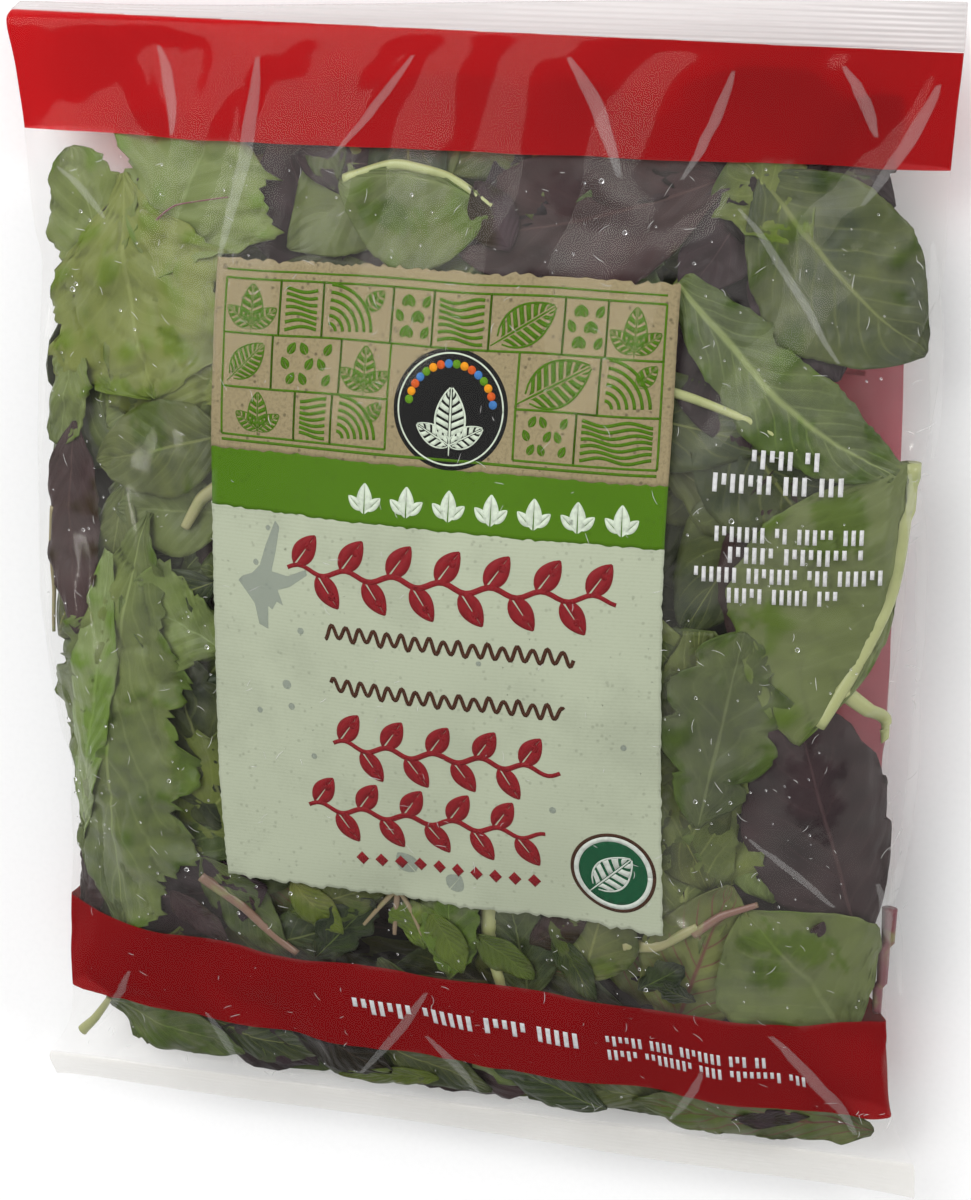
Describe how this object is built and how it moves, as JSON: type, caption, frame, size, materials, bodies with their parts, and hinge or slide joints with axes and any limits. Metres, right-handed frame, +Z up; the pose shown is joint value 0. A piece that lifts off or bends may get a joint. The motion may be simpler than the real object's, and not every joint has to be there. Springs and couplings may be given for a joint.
{
  "type": "bag of salad leaves",
  "caption": "Sealed pillow bag of clear printed film, full of loose mixed salad leaves, lying on its back with the front up.",
  "frame": {"origin": "on the surface the bag lies on, under the middle of its bounding box", "axes": "+X across the bag, to the right seen from the front; +Y from the bottom seal to the top seal; +Z up out of the printed front"},
  "size_m": [0.216, 0.2727, 0.0419],
  "materials": {
    "bag_film": "clear glossy film, hazy with damp, over green and purple leaves",
    "red_print": "red ink on the inside of the clear film, glossy outside",
    "label_print": "pale green, leaf green and brown paper-like fields printed on the film",
    "green_leaf": "soft satin leaf with paler veins",
    "purple_leaf": "dark purple leaf, greener towards its rib",
    "leaf_stem": "pale green juicy stem"
  },
  "bodies": {
    "root": {"salad_bag": "bag_film"}
  },
  "joints": []
}
